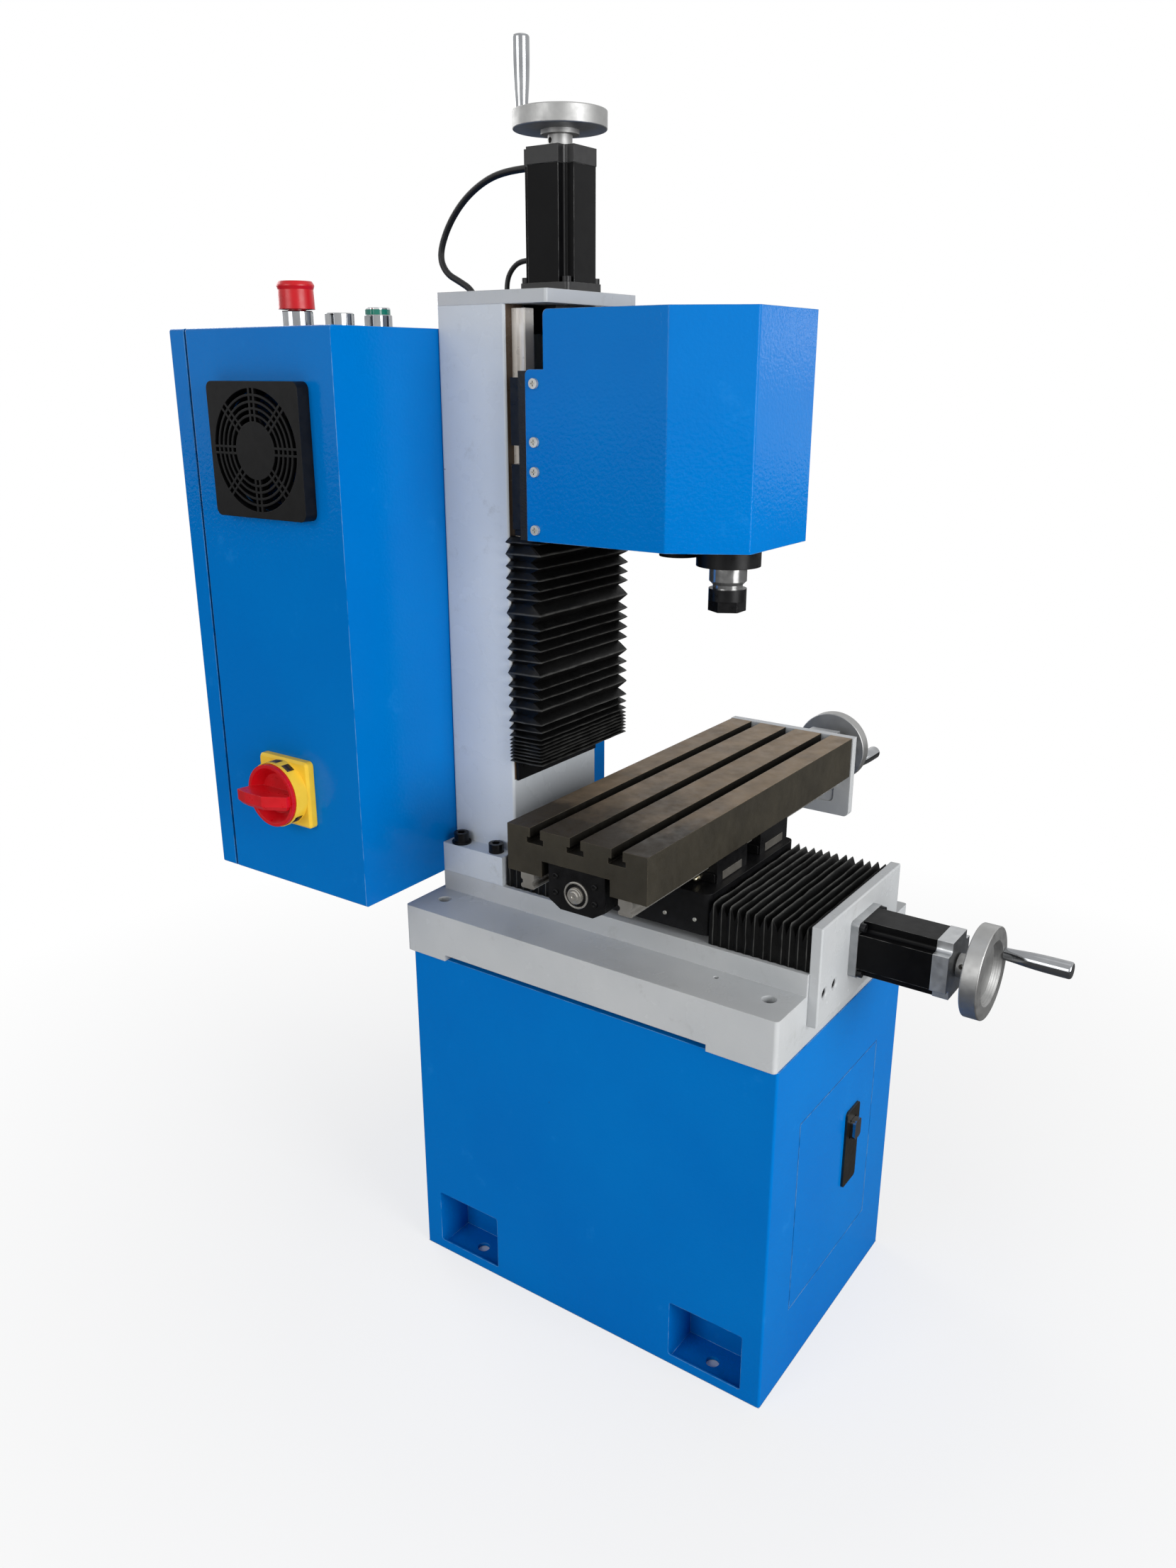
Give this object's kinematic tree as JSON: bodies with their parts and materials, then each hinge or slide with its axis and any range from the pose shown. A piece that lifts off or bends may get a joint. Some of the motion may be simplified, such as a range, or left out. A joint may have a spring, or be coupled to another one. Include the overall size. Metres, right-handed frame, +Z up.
{
  "type": "benchtop cnc milling machine",
  "caption": "Benchtop milling machine on a steel cabinet with a linear-rail table and head, bellows, stepper motors with handwheels, a belt-driven collet spindle and an electrical box.",
  "frame": {"origin": "centre of the cabinet's footprint, on the floor", "axes": "+Z up, +Y to the rear, +X to the operator's right"},
  "size_m": [0.6958, 0.8498, 1.2583],
  "materials": {
    "blue_paint": "gloss polyester powder coat over sheet steel",
    "grey_paint": "semi-gloss enamel over machined castings and plates",
    "grey_casting": "semi-gloss enamel over an iron casting",
    "table_iron": "milled grey iron, oil-stained",
    "black_steel": "black oxide on steel",
    "head_iron": "black enamel over an iron casting",
    "rail_steel": "ground and polished hardened steel",
    "motor_black": "black enamel over motor laminations",
    "cast_aluminium": "satin die-cast aluminium",
    "polished_chrome": "bright chrome plate",
    "bellows_cloth": "black coated bellows cloth",
    "black_plastic": "matt black moulding",
    "black_rubber": "black cable jacket and belt rubber",
    "yellow_plastic": "yellow moulding",
    "red_plastic": "red moulding",
    "green_lens": "green translucent moulding",
    "dark_stainless": "dark brushed stainless steel",
    "zinc_plate": "bright zinc plate"
  },
  "bodies": {
    "frame": {"cabinet_shell": "blue_paint", "base_casting": "grey_casting", "column": "grey_casting", "column_top_plate": "grey_paint", "fixed_rails": "rail_steel", "screw_bearing_blocks": "black_steel", "y_motor_plate": "grey_paint", "fixed_motor_caps": "cast_aluminium", "fixed_motor_bodies": "motor_black", "fixed_fasteners": "black_steel", "z_bellows": "bellows_cloth", "y_bellows": "bellows_cloth", "box_shell": "blue_paint", "box_mounting_plate": "zinc_plate", "control_units": "black_plastic", "fan_guard": "black_plastic", "fan_frame": "black_plastic", "switch_plate": "yellow_plastic", "button_bezels": "polished_chrome", "cable_glands": "black_plastic", "z_motor_cable": "black_rubber", "z_brake_cable": "black_rubber"},
    "cabinet_door": {"cabinet_door": "blue_paint", "latch_plate": "dark_stainless"},
    "latch": {"latch_button": "polished_chrome"},
    "box_door": {"box_door": "blue_paint"},
    "saddle": {"saddle": "black_steel", "saddle_carriages": "black_steel", "saddle_ballnuts": "black_steel"},
    "table": {"table": "table_iron", "x_rails": "rail_steel", "x_bearing_blocks": "black_steel", "x_end_plate": "grey_paint", "x_motor_caps": "cast_aluminium", "x_motor_body": "motor_black"},
    "head": {"head_casting": "head_iron", "z_slide_blocks": "black_steel", "head_cover": "blue_paint", "cover_screws": "polished_chrome", "spindle_housing": "black_steel", "spindle_motor": "motor_black", "belt": "black_rubber"},
    "spindle": {"spindle": "rail_steel", "collet_nut": "black_steel", "collet": "rail_steel"},
    "drive_pulley": {"motor_pulley": "rail_steel"},
    "x_screw": {"x_screw": "rail_steel", "x_handwheel": "cast_aluminium"},
    "x_handle": {"x_handle": "polished_chrome"},
    "y_screw": {"y_screw": "rail_steel", "y_handwheel": "cast_aluminium"},
    "y_handle": {"y_handle": "polished_chrome"},
    "z_screw": {"z_screw": "rail_steel", "z_handwheel": "cast_aluminium"},
    "z_handle": {"z_handle": "polished_chrome"},
    "fan": {"fan_rotor": "black_plastic"},
    "switch": {"switch_knob": "red_plastic"},
    "estop": {"estop_cap": "red_plastic"},
    "start": {"start_button": "green_lens"},
    "stop": {"stop_button": "polished_chrome"}
  },
  "joints": [
    {"name": "y_slide", "type": "slide", "parent": "frame", "child": "saddle", "axis": [0, 1, 0], "range_m": [-0.065, 0.04], "deforming": ["y_bellows"]},
    {"name": "x_slide", "type": "slide", "parent": "saddle", "child": "table", "axis": [1, 0, 0], "range_m": [-0.14, 0.075]},
    {"name": "z_slide", "type": "slide", "parent": "frame", "child": "head", "axis": [0, 0, 1], "range_m": [-0.16, 0.045], "deforming": ["z_bellows"]},
    {"name": "x_screw_turn", "type": "hinge", "parent": "table", "child": "x_screw", "pos_m": [0.2475, -0.03, 0.522], "axis": [1, 0, 0], "continuous": true},
    {"name": "x_handle_spin", "type": "hinge", "parent": "x_screw", "child": "x_handle", "pos_m": [0.373, -0.05867, 0.50192], "axis": [1, 0, 0], "continuous": true},
    {"name": "y_screw_turn", "type": "hinge", "parent": "frame", "child": "y_screw", "pos_m": [0, -0.2264, 0.455], "axis": [0, 1, 0], "continuous": true},
    {"name": "y_handle_spin", "type": "hinge", "parent": "y_screw", "child": "y_handle", "pos_m": [0.03447, -0.352, 0.46108], "axis": [0, 1, 0], "continuous": true},
    {"name": "z_screw_turn", "type": "hinge", "parent": "frame", "child": "z_screw", "pos_m": [0, 0.124, 1.0415], "axis": [0, 0, 1], "continuous": true},
    {"name": "z_handle_spin", "type": "hinge", "parent": "z_screw", "child": "z_handle", "pos_m": [-0.01997, 0.15274, 1.197], "axis": [0, 0, 1], "continuous": true},
    {"name": "spindle_turn", "type": "hinge", "parent": "head", "child": "spindle", "pos_m": [0, -0.068, 0.79], "axis": [0, 0, 1], "continuous": true},
    {"name": "drive_pulley_turn", "type": "hinge", "parent": "head", "child": "drive_pulley", "pos_m": [0, -0.015, 0.951], "axis": [0, 0, 1], "continuous": true},
    {"name": "cabinet_door_hinge", "type": "hinge", "parent": "frame", "child": "cabinet_door", "pos_m": [-0.0785, -0.212, 0.1875], "axis": [0, 0, -1], "range_deg": [0, 110]},
    {"name": "latch_press", "type": "slide", "parent": "cabinet_door", "child": "latch", "axis": [0, 1, 0], "range_m": [0, 0.003], "stiffness_N_per_m": 800, "springref_m": -0.002},
    {"name": "box_door_hinge", "type": "hinge", "parent": "frame", "child": "box_door", "pos_m": [0.221, 0.4145, 0.73], "axis": [0, 0, -1], "range_deg": [0, 110]},
    {"name": "fan_turn", "type": "hinge", "parent": "frame", "child": "fan", "pos_m": [-0.2025, 0.311, 0.9], "axis": [1, 0, 0], "continuous": true},
    {"name": "switch_turn", "type": "hinge", "parent": "frame", "child": "switch", "pos_m": [-0.2375, 0.316, 0.562], "axis": [1, 0, 0], "range_deg": [0, 90]},
    {"name": "estop_press", "type": "slide", "parent": "frame", "child": "estop", "axis": [0, 0, -1], "range_m": [0, 0.004]},
    {"name": "start_press", "type": "slide", "parent": "frame", "child": "start", "axis": [0, 0, -1], "range_m": [0, 0.003], "stiffness_N_per_m": 800, "springref_m": -0.002},
    {"name": "stop_press", "type": "slide", "parent": "frame", "child": "stop", "axis": [0, 0, -1], "range_m": [0, 0.003], "stiffness_N_per_m": 800, "springref_m": -0.002}
  ],
  "couplings": [
    {"joint": "x_screw_turn", "follows": "x_slide", "rad_per_m": 1256.6},
    {"joint": "y_screw_turn", "follows": "y_slide", "rad_per_m": -1256.6},
    {"joint": "z_screw_turn", "follows": "z_slide", "rad_per_m": -1256.6},
    {"joint": "drive_pulley_turn", "follows": "spindle_turn", "ratio": 1.375}
  ]
}
